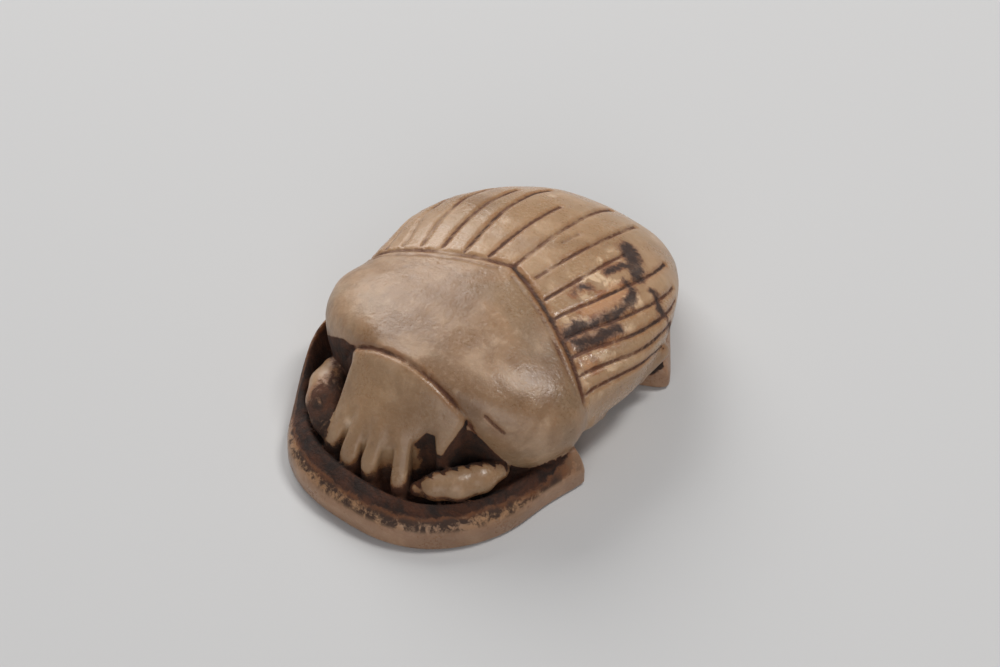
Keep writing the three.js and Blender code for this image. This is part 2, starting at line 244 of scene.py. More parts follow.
FORELEG = [(2.1, -7.0, 1.5), (2.65, -6.62, 1.7), (3.25, -6.1, 1.8), (3.72, -5.4, 1.85), (3.95, -4.7, 1.85)]
FORELEG_R = [0.34, 0.58, 0.68, 0.64, 0.5]
LEFT_LEG_IN = 0.3          # the left foreleg is carved broader, reaching this much further towards the head
MIDLEG = [(5.2, -1.1, 2.3), (4.85, 0.1, 1.45), (4.35, 1.3, 0.65)]
HINDLEG = [(5.3, 3.5, 2.2), (4.95, 2.5, 1.45), (4.4, 1.5, 0.7)]


# ------------------------------------------------------------------ carved lines, as 3-D polylines on the back
def back_point(side, u, y):
    a = u * np.pi / 2; Z = look(_bz, y)
    H = np.where(a > 0, look(_bt, y) - Z, BELLY)
    s = np.sin(a)
    return np.array([side * look(_bw, y) * max(0.0, np.cos(a)) ** (2 / BACK_POWER), y,
                     Z + H * np.sign(s) * abs(s) ** (2 / BACK_POWER)])


def share_at(x, y):
    return np.arccos(min(1.0, abs(x) / look(_bw, y)) ** (BACK_POWER / 2)) / (np.pi / 2)


def shoulder(side, x):
    return SHOULDER_Y - (0.36 * x + 0.024 * x * x if side > 0 else 0.29 * x + 0.014 * x * x)


# side, share at the shoulder, share at the end, start and end along Y, strength
STRIAE = [(-1, 0.895, 0.87, 0.2, 5.5, 1.0), (-1, 0.79, 0.63, 0.15, 6.5, 1.0), (-1, 0.68, 0.54, 0.25, 5.5, 0.9),
          (-1, 0.565, 0.33, 0.3, 5.4, 0.6), (-1, 0.45, 0.12, 0.3, 5.0, 0.7), (-1, 0.31, 0.0, 0.3, 4.4, 0.7), (-1, 0.17, -0.08, 0.3, 3.6, 0.7),
          (1, 0.895, 0.75, 0.45, 7.2, 1.0), (1, 0.94, 0.925, 2.6, 4.5, 0.6), (1, 0.79, 0.68, 0.25, 4.9, 1.0), (1, 0.69, 0.38, 0.1, 6.3, 1.0),
          (1, 0.57, 0.2, 0.1, 5.6, 1.0), (1, 0.46, 0.06, 0.1, 5.3, 1.0), (1, 0.33, 0.0, 0.2, 4.2, 0.9), (1, 0.18, -0.09, 0.25, 3.4, 1.0)]


def make_lines():
    """list of (points, half-width, depth, colour strength)"""
    L = []
    for s in (-1, 1):
        pts = []
        for i in range(15):
            x = 0.02 + 5.5 * i / 14; y = shoulder(s, x)
            pts.append(back_point(s, share_at(x, y), y))
        L.append((np.array(pts), 0.20, 0.17 + 0.02 * s, 1.0 + 0.3 * s))
        pts = []
        for i in range(13):                      # fine line along the fore back's hind margin
            x = 0.35 + 4.9 * i / 12; y = shoulder(s, x) - 0.36 - 0.03 * np.sin(x * 2)
            pts.append(back_point(s, share_at(x, y), y))
        L.append((np.array(pts), 0.13, 0.05, 0.45))
    pts = [back_point(1, 0.995 + 0.002 * np.sin(y), y) for y in np.linspace(1.15, 7.5, 16)]
    L.append((np.array(pts), 0.16, 0.1, 0.9))
    for side, ua, ub, gap, ye, strength in STRIAE:
        xa = abs(back_point(side, ua, 0.3)[0]); ya = shoulder(side, xa) + gap
        pts = []
        for i in range(13):
            t = i / 12
            pts.append(back_point(side, ua + (ub - ua) * t ** 1.35, ya + (ye - ya) * t))
        L.append((np.array(pts), 0.145, 0.085 * (0.6 + 0.4 * strength), strength))
    # line between head and fore back
    pts = []
    for x in np.linspace(-3.3, 3.6, 22):
        y = -4.96 + 0.03 * np.cos(x * 1.3)
        y = y + 0.035 * max(0.0, abs(x) - 2.4)
        pts.append(back_point(np.sign(x) or 1, share_at(x, y), y))
    L.append((np.array(pts), 0.17, 0.1, 0.8))
    pts = [back_point(1, share_at(x, y), y) for x, y in ((3.39, -4.66), (3.8, -4.6), (4.15, -4.5))]
    L.append((np.array(pts), 0.13, 0.07, 0.9))
    return L


LINES = make_lines()


def line_distance(P, pts):
    x, y, z = P
    best = np.full(x.shape, 1e9)
    for k in range(len(pts) - 1):
        a = pts[k]; e = pts[k + 1] - a
        t = np.clip(((x - a[0]) * e[0] + (y - a[1]) * e[1] + (z - a[2]) * e[2]) / (e @ e), 0, 1)
        dx = x - a[0] - e[0] * t; dy = y - a[1] - e[1] * t; dz = z - a[2] - e[2] * t
        best = np.minimum(best, dx * dx + dy * dy + dz * dz)
    return np.sqrt(best)


# ------------------------------------------------------------------ noise
_rng = np.random.default_rng(27)
_lat = _rng.random((32, 32, 32)) * 2 - 1


def noise(x, y, z, scale, seed=0.0):
    """smooth noise, about -1 to 1, with features of size scale (mm)"""
    x = x / scale + 7.31 + seed * 3.7; y = y / scale + 3.17 + seed * 1.9; z = z / scale + 11.7 - seed * 2.3
    ix = np.floor(x).astype(int); iy = np.floor(y).astype(int); iz = np.floor(z).astype(int)
    fx = x - ix; fy = y - iy; fz = z - iz
    fx = fx * fx * fx * (fx * (fx * 6 - 15) + 10); fy = fy * fy * fy * (fy * (fy * 6 - 15) + 10); fz = fz * fz * fz * (fz * (fz * 6 - 15) + 10)
    a = ix & 31; b = iy & 31; c = iz & 31; a1 = (a + 1) & 31; b1 = (b + 1) & 31; c1 = (c + 1) & 31
    L = _lat
    v00 = L[a, b, c] * (1 - fx) + L[a1, b, c] * fx; v10 = L[a, b1, c] * (1 - fx) + L[a1, b1, c] * fx
    v01 = L[a, b, c1] * (1 - fx) + L[a1, b, c1] * fx; v11 = L[a, b1, c1] * (1 - fx) + L[a1, b1, c1] * fx
    return (v00 * (1 - fy) + v10 * fy) * (1 - fz) + (v01 * (1 - fy) + v11 * fy) * fz


# ------------------------------------------------------------------ the whole stone
def lean(y):
    return LEAN * (1 - sm(-5, 0, y))


def parts(x, y, z):
    xs = np.abs(x)
    base = base_field(x, y, z)
    back = back_field(x, y, z)
    head = head_field(x, y, z)
    P = (xs, y, z)
    fore = bar3(P, FORELEG, FORELEG_R, 0.9)
    inner = bar3((xs + LEFT_LEG_IN, y + 0.15, z - 0.12), FORELEG, FORELEG_R, 0.9)
    fore = np.where(x < 0, smin(fore, inner, 0.3), fore)
    legs = np.minimum(bar3(P, MIDLEG, [0.4, 0.38, 0.32]), bar3(P, HINDLEG, [0.42, 0.38, 0.32]))
    return base, back, head, fore, legs


def coarse(x, y, z):
    x = x - lean(y)
    base, back, head, fore, legs = parts(x, y, z)
    back = rmax(back, 0.3 - z, 0.2)
    f = smin(back, legs, 0.12)
    f = smin(f, head, 0.08)
    f = smin(f, base, 0.10)
    f = smin(f, fore, 0.07)
    return f


def fine(x, y, z, f):
    """carved lines and hand-made unevenness, for points near the surface"""
    xl = x - lean(y)
    near = np.abs(f) < 0.6
    out = f.copy()
    P = (xl[near], y[near], z[near])
    add = np.zeros(P[0].shape)
    for pts, half, depth, strength in LINES:
        lo = pts.min(0) - 0.5; hi = pts.max(0) + 0.5
        m = (P[0] > lo[0]) & (P[0] < hi[0]) & (P[1] > lo[1]) & (P[1] < hi[1]) & (P[2] > lo[2]) & (P[2] < hi[2])
        if not m.any():
            continue
        Q = (P[0][m], P[1][m], P[2][m])
        d = line_distance(Q, pts)
        g = np.clip(1 - d / half, 0, 1)
        add[m] = np.maximum(add[m], depth * g * (1.6 - 0.6 * g))
    ux, uy = 0.65, 0.76                       # the foreleg's run in plan
    px, py = P[0] - 2.9, P[1] + 6.4
    run = px * ux + py * uy; off = -px * uy + py * ux
    comb = sm(0.0, 0.3, off) * sm(1.3, 0.9, off) * sm(-0.85, -0.6, run) * sm(1.95, 1.6, run) * sm(0.9, 1.3, P[2]) * sm(3.2, 2.8, P[2])
    tooth = np.abs(((run + 0.06 * np.sin(off * 5)) / 0.46) % 1.0 - 0.5) * 2
    xn, yn, zn = P
    foreleg = bar3((np.abs(xn), yn, zn), FORELEG, FORELEG_R, 0.9)
    comb = comb * (xn > 0) * sm(0.12, 0.02, foreleg) * sm(0.3, 0.5, off)
    add += comb * 0.07 * sm(0.5, 0.95, tooth)
    amp = sm(0.0, 0.5, P[2])
    wob = 0.045 * noise(P[0], P[1], P[2], 3.1, 1) + 0.022 * noise(P[0], P[1], P[2], 1.3, 2) + 0.008 * noise(P[0], P[1], P[2], 0.5, 3)
    out[near] += add - amp * wob
    return out


def field(x, y, z):
    return fine(x, y, z, coarse(x, y, z))


# ------------------------------------------------------------------ mesh
def surface_nets(F, origin, h):
    nx, ny, nz = F.shape
    s = F < 0
    count = np.zeros((nx - 1, ny - 1, nz - 1), np.int8)
    for i in (0, 1):
        for j in (0, 1):
            for k in (0, 1):
                count += s[i:nx - 1 + i, j:ny - 1 + j, k:nz - 1 + k]
    act = (count > 0) & (count < 8)
    ids = np.full(act.shape, -1, np.int64)
    cells = np.argwhere(act)
    ids[act] = np.arange(len(cells))
    acc = np.zeros((len(cells), 3)); cnt = np.zeros(len(cells))
    corners = [(i, j, k) for i in (0, 1) for j in (0, 1) for k in (0, 1)]
    for a in corners:
        for ax in range(3):
            if a[ax] == 1:
                continue
            b = list(a); b[ax] = 1
            Fa = F[cells[:, 0] + a[0], cells[:, 1] + a[1], cells[:, 2] + a[2]]
            Fb = F[cells[:, 0] + b[0], cells[:, 1] + b[1], cells[:, 2] + b[2]]
            m = (Fa < 0) != (Fb < 0)
            t = np.where(m, Fa / np.where(m, Fa - Fb, 1), 0)
            p = np.array(a, float)[None, :] + np.zeros((len(cells), 3))
            p[:, ax] += t
            acc[m] += p[m]; cnt[m] += 1
    V = (cells + acc / cnt[:, None]) * h + origin
    quads = []
    for ax in range(3):
        u, v = (ax + 1) % 3, (ax + 2) % 3
        sl0 = [slice(None)] * 3; sl1 = [slice(None)] * 3
        sl0[ax] = slice(0, -1); sl1[ax] = slice(1, None)
        A = s[tuple(sl0)]; B = s[tuple(sl1)]
        for sign in (1, -1):
            m = (A & ~B) if sign > 0 else (~A & B)
            e = np.argwhere(m)
            ok = (e[:, u] > 0) & (e[:, v] > 0) & (e[:, u] < F.shape[u] - 1) & (e[:, v] < F.shape[v] - 1)
            e = e[ok]
            q = []
            for du, dv in ((-1, -1), (0, -1), (0, 0), (-1, 0)):
                c = e.copy(); c[:, u] += du; c[:, v] += dv
                q.append(ids[c[:, 0], c[:, 1], c[:, 2]])
            q = np.stack(q, 1)
            if sign < 0:
                q = q[:, ::-1]
            quads.append(q)
    return V, np.concatenate(quads)


def gradient(V, e=0.012):
    x, y, z = V[:, 0], V[:, 1], V[:, 2]
    f = field(x, y, z)
    gx = (field(x + e, y, z) - field(x - e, y, z)) / (2 * e)
    gy = (field(x, y + e, z) - field(x, y - e, z)) / (2 * e)
    gz = (field(x, y, z + e) - field(x, y, z - e)) / (2 * e)
    return f, np.stack([gx, gy, gz], 1)


def settle(V, Q, h, rounds=3):
    n = len(V)
    a = np.concatenate([Q[:, 0], Q[:, 1], Q[:, 2], Q[:, 3]]); b = np.concatenate([Q[:, 1], Q[:, 2], Q[:, 3], Q[:, 0]])
    deg = np.bincount(a, minlength=n) + np.bincount(b, minlength=n)
    for r in range(rounds):
        f, g = gradient(V)
        gg = (g * g).sum(1) + 1e-6
        step = (f / gg)[:, None] * g
        L = np.linalg.norm(step, axis=1)
        step *= np.minimum(1, 0.8 * h / np.maximum(L, 1e-9))[:, None]
        V = V - step
        if r < rounds - 1:
            av = np.stack([np.bincount(a, V[b, k], n) + np.bincount(b, V[a, k], n) for k in range(3)], 1) / deg[:, None]
            nrm = g / np.sqrt(gg)[:, None]
            d = av - V
            d -= (d * nrm).sum(1)[:, None] * nrm
            V = V + 0.5 * d
    return V


def largest(V, Q):
    """keeps the one connected skin"""
    lab = np.arange(len(V))
    a = np.concatenate([Q[:, 0], Q[:, 1], Q[:, 2], Q[:, 3]]); b = np.concatenate([Q[:, 1], Q[:, 2], Q[:, 3], Q[:, 0]])
    while True:
        new = lab.copy()
        np.minimum.at(new, a, lab[b]); np.minimum.at(new, b, lab[a])
        new = new[new]
        if (new == lab).all():
            break
        lab = new
    names, counts = np.unique(lab, return_counts=True)
    keep = lab == names[counts.argmax()]
    idx = np.cumsum(keep) - 1
    return V[keep], idx[Q[keep[Q[:, 0]]]]


def build(h=0.1):
    lo = np.array([-6.6, -9.4, -0.35]); hi = np.array([6.6, 9.4, 5.95])
    n = np.ceil((hi - lo) / h).astype(int) + 1
    xs = lo[0] + h * np.arange(n[0]); ys = lo[1] + h * np.arange(n[1]); zs = lo[2] + h * np.arange(n[2])
    F = np.empty(n)
    step = 24
    for i in range(0, n[0], step):
        X, Y, Z = np.meshgrid(xs[i:i + step], ys, zs, indexing='ij')
        sh = X.shape
        F[i:i + step] = field(X.ravel(), Y.ravel(), Z.ravel()).reshape(sh)
    return largest(*surface_nets(F, lo, h))

# ------------------------------------------------------------------ the piece
GRID = 0.09
verts, quads = build(GRID)
verts = settle(verts, quads, GRID)
verts[:, 2] = np.maximum(verts[:, 2], 0.0)


def smooth_mask(value, low, high):
    return sm(low, high, value)


def chain_distance(P, pts):
    return line_distance(P, np.array(pts, float))


x, y, z = verts[:, 0], verts[:, 1], verts[:, 2]
xl = x - lean(y)
P = (xl, y, z)
here, normal = gradient(verts, 0.03)
normal /= np.linalg.norm(normal, axis=1)[:, None] + 1e-9


def openness(reach):
    q = verts + normal * reach
    return np.clip(coarse(q[:, 0], q[:, 1], q[:, 2]) / reach, -0.2, 1.0)


cave = 1 - openness(0.35)
deep = 1 - openness(1.0)

pb, pk, ph, pf, pl = parts(xl, y, z)
stack = np.stack([pb, pk, ph, pf, pl], 1)
part = stack.argmin(1)
inset = -outline_distance(xl, y)

# where each point lay before the lines were cut
e = 0.02
lay = coarse(x, y, z)
slope = np.stack([coarse(x + e, y, z) - coarse(x - e, y, z), coarse(x, y + e, z) - coarse(x, y - e, z),
                  coarse(x, y, z + e) - coarse(x, y, z - e)], 1)
slope /= np.linalg.norm(slope, axis=1)[:, None] + 1e-9
flat = verts - slope * np.clip(lay, -0.4, 0.4)[:, None]
P = (flat[:, 0] - lean(flat[:, 1]), flat[:, 1], flat[:, 2])

# how far each point is from the nearest carved line, and how dark that line is there
seam = np.full(len(verts), 1.0)
ink = np.zeros(len(verts))
along = 0.5 + 0.5 * noise(xl, y, z, 0.9, 5)
along2 = 0.5 + 0.5 * noise(xl, y, z, 2.6, 6)
for pts, half, depth, strength in LINES:
    d = line_distance(P, pts) * 0.2 / half
    nearer = d < seam
    seam = np.where(nearer, d, seam)
    ink = np.where(nearer, strength, ink)
ink = ink * (0.45 + 0.75 * along) * (0.55 + 0.65 * along2)

side = np.where(xl > 0, 1, -1)
ax = np.abs(xl)
joint_y = SHOULDER_Y - np.where(xl > 0, 0.36 * ax + 0.024 * ax * ax, 0.29 * ax + 0.014 * ax * ax)
wing = sm(-0.05, 0.1, y - joint_y) * (part == 1)
headzone = ((part == 2) & (y < -4.9)).astype(float)
legzone = (part == 3).astype(float)
on_base = ((part == 0) & (z > 0.02)).astype(float)

# deposits left on the stone, as short bent bars over the surface: points, width
BLOTS = [([(2.43, 5.32, 4.4), (2.96, 4.89, 4.43), (3.54, 4.34, 4.46)], 0.34, 1.0),
         ([(2.71, 3.5, 4.9), (2.87, 4.23, 4.68), (3.1, 4.6, 4.55)], 0.22, 0.6),
         ([(3.55, 3.63, 4.63), (3.96, 3.41, 4.6), (4.24, 2.85, 4.59), (4.2, 1.95, 4.72), (3.89, 0.95, 4.82)], 0.15, 1.0),
         ([(3.57, 0.05, 4.93), (3.69, 0.61, 4.9)], 0.26, 0.9),
         ([(4.05, -0.1, 4.81), (4.41, 0.56, 4.68), (4.58, 1.59, 4.6)], 0.24, 0.95),
         ([(2.57, 1.64, 5.1), (2.57, 2.07, 5.07), (2.85, 2.29, 5.02)], 0.1, 0.45),
         ([(4.36, 4.3, 4.15), (5.02, 3.83, 3.94), (5.25, 3.95, 3.21), (4.94, 4.89, 1.6)], 0.16, 0.9)]
AMBER = [([(3.4, 1.31, 4.96), (3.56, 2.15, 4.88), (3.63, 3.13, 4.7)], 0.4, 1.0),
         ([(2.57, 1.64, 5.1), (2.85, 2.29, 5.02)], 0.3, 0.6),
         ([(4.4, 0.3, 4.7), (4.75, 1.2, 4.5)], 0.35, 0.8),
         ([(2.71, 3.5, 4.9), (2.87, 4.23, 4.68)], 0.35, 0.7),
         ([(4.82, -0.52, 4.45), (4.96, -0.3, 4.3)], 0.4, 0.7)]


def bars(rows):
    best = np.full(len(verts), 2.0)
    for pts, wide, strength in rows:
        best = np.minimum(best, (chain_distance(P, pts) - wide * strength))
    return best


blot = bars(BLOTS)
amber = bars(AMBER)

front = sm(-1.4, -3.4, y)
# brown earth packed round the head and legs
inner_moat = on_base * front * np.maximum(sm(0.10, 0.62, inset), 0.5 * sm(-4.2, -2.6, y) * (xl > 0) * sm(0.0, 0.3, inset)) * sm(0.8, 1.0, z)
hollow = np.clip(0.9 * sm(0.2, 0.7, deep) + 0.8 * sm(0.3, 0.8, cave), 0, 1) * sm(-1.5, -3.5, y) * sm(0.7, 1.05, z)
hollow = hollow * np.where(part == 0, sm(0.2, 0.5, inset), 1.0)
headtop = head_top(xl, y)
below = sm(0.12, 0.4, headtop - z)
flank = np.maximum(sm(1.35, 1.7, xl + 0.12 * noise(xl, y, z, 0.5, 9)) * sm(-6.95, -6.5, y), sm(-1.9, -2.15, xl) * sm(-6.9, -6.5, y))
hollow = np.where(part == 2, np.maximum(hollow * sm(2.6, 1.2, z) * 0.75, below * flank), hollow)
hollow = hollow * np.where(part == 1, 0.0, 1.0)
hollow = hollow * np.where(part == 3, 0.5, 1.0)
earth = np.maximum(inner_moat, hollow)
# wall of the fore back beside the head: dark past this line
edge_z = np.interp(xl, [-5.6, -5.43, -4.32, -3.68, -3.23, -2.3, 2.7, 3.39, 4.01, 4.34, 4.68, 5.29, 5.6],
                   [1.9, 2.1, 3.26, 3.80, 4.08, 4.36, 3.55, 3.19, 2.36, 1.90, 1.45, 1.62, 1.5])
beyond = (part == 1) * np.where(xl < 0, sm(-2.2, -2.45, xl), sm(2.5, 2.8, xl)) * sm(-2.4, -3.0, y)
wall = beyond * sm(0.12, -0.12, z - edge_z)
earth = np.maximum(earth, wall)
# comb of dark cuts along the inner edge of the right foreleg
ru, ro = (xl - 2.9) * 0.65 + (y + 6.4) * 0.76, -(xl - 2.9) * 0.76 + (y + 6.4) * 0.65
tooth = np.abs(((ru + 0.06 * np.sin(ro * 5)) / 0.46) % 1.0 - 0.5) * 2
comb = (part == 3) * (xl > 0)
earth = np.maximum(earth, comb * sm(0.1, 0.45, ro + 0.3 * sm(0.4, 0.95, tooth)))
streaks = (part == 0) * (xl > 0) * sm(0.5, 0.8, ro) * sm(2.0, 1.4, ro) * sm(-0.8, -0.4, ru) * sm(2.2, 1.7, ru) * sm(0.6, 0.2, tooth)
# left foreleg: stained towards the head
earth = np.maximum(earth, (part == 3) * (xl < 0) * (0.16 + 0.5 * sm(-4.1, -2.9, xl)))
# rear of the base where it meets the back
heel = on_base * sm(1.5, 3.0, y) * sm(0.1, 0.6, inset)
tuck = sm(0.3, 0.75, deep) * sm(-3.0, -1.0, y)
earth = np.maximum(earth, np.maximum(heel * 0.75, tuck * 0.8) * sm(0.15, 0.8, z))
band = on_base * front * sm(0.0, 0.12, inset) * sm(0.8, 1.0, z)

me = bpy.data.meshes.new("stone")
me.vertices.add(len(verts)); me.vertices.foreach_set("co", (verts * MM).astype(np.float32).ravel())
me.loops.add(quads.size); me.loops.foreach_set("vertex_index", quads.astype(np.int32).ravel())
me.polygons.add(len(quads))
me.polygons.foreach_set("loop_start", np.arange(0, quads.size, 4, dtype=np.int32))
me.polygons.foreach_set("loop_total", np.full(len(quads), 4, dtype=np.int32))
me.update(calc_edges=True)
me.validate()
me.polygons.foreach_set("use_smooth", np.ones(len(me.polygons), dtype=bool))
for name, values in (("seam", seam), ("ink", ink), ("cave", cave), ("deep", deep), ("earth", earth), ("band", band), ("blot", blot),
                     ("amber", amber), ("wing", wing), ("headzone", headzone), ("legzone", legzone), ("rim", on_base * sm(1.3, 0.6, inset)), ("streaks", streaks)):
    a = me.attributes.new(name, "FLOAT", "POINT")
    a.data.foreach_set("value", np.asarray(values, dtype=np.float32))
stone = bpy.data.objects.new("carved_stone", me)
bpy.context.scene.collection.objects.link(stone)


# ------------------------------------------------------------------ material
def srgb(r, g, b):
    out = []
    for c in (r, g, b):
        c = c / 255.0
        out.append(c / 12.92 if c <= 0.04045 else ((c + 0.055) / 1.055) ** 2.4)
    return (out[0], out[1], out[2], 1.0)


def tone(r, g, b):
    """a stone colour, as it looks in soft light"""
    c = srgb(r, g, b)
    return (c[0] * 0.95, c[1] * 0.80, c[2] * 0.67, 1.0)


class Nodes:
    def __init__(self, name):
        self.mat = bpy.data.materials.new(name)
        self.mat.use_nodes = True
        self.t = self.mat.node_tree
        self.t.nodes.clear()
        self.coord = self.t.nodes.new("ShaderNodeTexCoord").outputs["Object"]

    def put(self, sock, v):
        if hasattr(v, "is_output"):
            self.t.links.new(v, sock)
        else:
            sock.default_value = v

    def attr(self, name):
        n = self.t.nodes.new("ShaderNodeAttribute"); n.attribute_name = name
        return n.outputs["Fac"]

    def noise(self, mm, detail=3.0, rough=0.55, warp=0.0, shift=0.0, stretch=None, colour=False):
        v = self.coord
        m = self.t.nodes.new("ShaderNodeMapping")
        self.t.links.new(v, m.inputs["Vector"])
        m.inputs["Location"].default_value = (shift * 0.013, shift * 0.007, -shift * 0.011)
        if stretch:
            m.inputs["Scale"].default_value = stretch
        n = self.t.nodes.new("ShaderNodeTexNoise")
        self.t.links.new(m.outputs[0], n.inputs["Vector"])
        n.inputs["Scale"].default_value = 1000.0 / mm
        n.inputs["Detail"].default_value = detail
        n.inputs["Roughness"].default_value = rough
        n.inputs["Distortion"].default_value = warp
        return n.outputs["Color"] if colour else n.outputs["Fac"]

    def cells(self, mm, shift=0.0):
        m = self.t.nodes.new("ShaderNodeMapping")
        self.t.links.new(self.coord, m.inputs["Vector"])
        m.inputs["Location"].default_value = (shift * 0.013, shift * 0.007, -shift * 0.011)
        n = self.t.nodes.new("ShaderNodeTexVoronoi")
        self.t.links.new(m.outputs[0], n.inputs["Vector"])
        n.inputs["Scale"].default_value = 1000.0 / mm
        return n.outputs["Distance"]

    def math(self, op, a, b=0.0, c=None):
        n = self.t.nodes.new("ShaderNodeMath"); n.operation = op
        self.put(n.inputs[0], a); self.put(n.inputs[1], b)
        if c is not None:
            self.put(n.inputs[2], c)
        return n.outputs[0]

    def step(self, v, a, b, lo=0.0, hi=1.0):
        """smooth step of v from a to b"""
        n = self.t.nodes.new("ShaderNodeMapRange"); n.interpolation_type = "SMOOTHSTEP"
        flip = a > b
        self.put(n.inputs["Value"], v)
        n.inputs["From Min"].default_value = b if flip else a
        n.inputs["From Max"].default_value = a if flip else b
        n.inputs["To Min"].default_value = hi if flip else lo
        n.inputs["To Max"].default_value = lo if flip else hi
        return n.outputs["Result"]

    def mix(self, fac, a, b, mode="MIX"):
        n = self.t.nodes.new("ShaderNodeMix"); n.data_type = "RGBA"; n.blend_type = mode
        self.put(n.inputs["Factor"], fac)
        self.put(n.inputs["A"] if False else n.inputs[6], a); self.put(n.inputs[7], b)
        return n.outputs[2]

    def mul(self, a, b): return self.math("MULTIPLY", a, b)
    def add(self, a, b): return self.math("ADD", a, b)
    def sub(self, a, b): return self.math("SUBTRACT", a, b)
    def top(self, a, b): return self.math("MAXIMUM", a, b)
    def low(self, a, b): return self.math("MINIMUM", a, b)


def stone_material():
    N = Nodes("weathered_stone")
    seam, ink, cave, deep = N.attr("seam"), N.attr("ink"), N.attr("cave"), N.attr("deep")
    earth, band, blot, amber = N.attr("earth"), N.attr("band"), N.attr("blot"), N.attr("amber")
    wing, head, leg, rim, streaks = N.attr("wing"), N.attr("headzone"), N.attr("legzone"), N.attr("rim"), N.attr("streaks")

    broad = N.noise(4.6, 3, 0.5, 0.3, 1)
    cloud = N.noise(1.9, 4, 0.55, 0.4, 2)
    cloud2 = N.noise(1.2, 4, 0.6, 0.5, 12)
    small = N.noise(0.5, 4, 0.6, 0.2, 3)
    grain = N.noise(0.13, 3, 0.6, 0.0, 4)
    ragged = N.noise(0.38, 5, 0.72, 0.5, 5)
    ragged2 = N.noise(0.95, 4, 0.65, 0.6, 6)

    # stone: warm grey body, browner where it is thin and translucent, paler and pinker in places
    c = N.mix(N.step(broad, 0.34, 0.66), tone(168, 144, 118), tone(142, 120, 98))
    c = N.mix(N.mul(N.step(cloud, 0.48, 0.70), 0.60), c, tone(196, 178, 158))
    c = N.mix(N.mul(N.step(cloud2, 0.50, 0.28), 0.55), c, tone(128, 104, 78))
    c = N.mix(N.mul(N.step(N.noise(2.6, 3, 0.5, 0.3, 14), 0.52, 0.68), 0.45), c, tone(136, 124, 106))
    c = N.mix(N.mul(N.step(small, 0.54, 0.76), 0.30), c, tone(212, 196, 178))
    c = N.mix(N.mul(N.step(small, 0.46, 0.24), 0.34), c, tone(118, 92, 66))
    # wing cases a little warmer, rim pinker, head and legs paler and yellower
    c = N.mix(N.mul(wing, 0.42), c, tone(200, 176, 146))
    c = N.mix(N.mul(rim, 0.45), c, tone(168, 138, 120))
    c = N.mix(N.mul(N.top(head, leg), 0.30), c, tone(176, 154, 124))
    # worn high places lighter
    c = N.mix(N.mul(N.step(grain, 0.45, 0.8), 0.14), c, tone(222, 208, 190))
    # whitish bruises and brown specks
    spots = N.cells(2.1, 3)
    c = N.mix(N.mul(N.step(N.add(spots, N.mul(small, 0.22)), 0.24, 0.12), 0.5), c, tone(236, 224, 208))
    specks = N.cells(1.05, 9)
    c = N.mix(N.mul(N.mul(N.step(N.add(specks, N.mul(grain, 0.16)), 0.20, 0.10), N.step(ragged2, 0.50, 0.64)), 0.8), c, tone(108, 66, 36))

    rub = N.mul(N.mul(wing, N.step(amber, 1.1, 0.2)), N.step(N.noise(0.7, 3, 0.6, 0.4, 31), 0.50, 0.60))
    c = N.mix(N.mul(rub, 0.75), c, tone(240, 226, 204))
    c = N.mix(N.mul(N.step(N.noise(3.4, 3, 0.5, 0.4, 33), 0.50, 0.66), 0.35), c, tone(120, 96, 74))
    # amber stain along the carved lines and round the deposits
    near_line = N.mul(N.step(N.add(seam, N.mul(N.sub(ragged, 0.5), 0.5)), 0.40, 0.04), N.step(ink, 0.15, 1.0))
    c = N.mix(N.mul(near_line, 0.55), c, tone(152, 104, 60))
    am = N.step(N.add(amber, N.mul(N.sub(ragged, 0.5), 1.3)), 0.16, -0.20)
    c = N.mix(N.mul(am, 0.62), c, tone(146, 92, 56))
    am2 = N.mul(N.step(N.add(amber, N.mul(N.sub(ragged2, 0.5), 1.6)), 0.0, -0.3), 0.5)
    c = N.mix(am2, c, tone(210, 176, 142))

    # carved lines
    core = N.step(N.add(seam, N.mul(N.sub(ragged, 0.5), 0.20)), 0.135, 0.03)
    core = N.mul(core, N.step(N.add(ink, N.mul(N.sub(ragged2, 0.5), 0.9)), 0.16, 0.66))
    c = N.mix(N.mul(core, 0.96), c, N.mix(N.step(ink, 0.6, 1.1), tone(90, 50, 25), tone(50, 27, 16)))

    # mottled band inside the rim, nearly all dark on its inner half
    both = N.add(N.mul(ragged, 0.5), N.mul(ragged2, 0.5))
    mott = N.mul(band, N.step(N.sub(both, N.mul(earth, 0.16)), 0.56, 0.46))
    c = N.mix(N.mul(band, 0.6), c, tone(160, 130, 98))
    c = N.mix(N.mul(N.mul(band, N.step(cloud2, 0.42, 0.60)), 0.5), c, tone(190, 160, 128))
    c = N.mix(N.mul(mott, 0.95), c, tone(50, 29, 18))

    # packed earth
    dirt = N.step(N.add(earth, N.mul(N.sub(both, 0.5), 1.7)), 0.34, 0.62)
    shade = N.mix(N.step(ragged2, 0.35, 0.68), tone(24, 13, 8), tone(78, 45, 26))
    shade = N.mix(N.mul(streaks, 0.75), shade, tone(140, 100, 66))
    halo = N.step(N.add(earth, N.mul(N.sub(ragged2, 0.5), 1.1)), 0.10, 0.5)
    c = N.mix(N.mul(halo, 0.6), c, tone(136, 88, 48))
    c = N.mix(N.mul(dirt, 0.95), c, shade)

    # dark crust on the wing case
    ring = N.step(N.add(blot, N.mul(N.sub(both, 0.5), 1.6)), 0.26, 0.0)
    c = N.mix(N.mul(ring, 0.6), c, tone(132, 88, 60))
    crust = N.step(N.add(blot, N.mul(N.sub(both, 0.5), 1.4)), 0.16, -0.12)
    c = N.mix(N.mul(crust, N.step(small, 0.25, 0.5, 0.65, 0.95)), c, tone(54, 42, 40))

    dirty = N.top(N.top(dirt, crust), N.top(N.mul(core, 0.8), N.mul(mott, 0.7)))

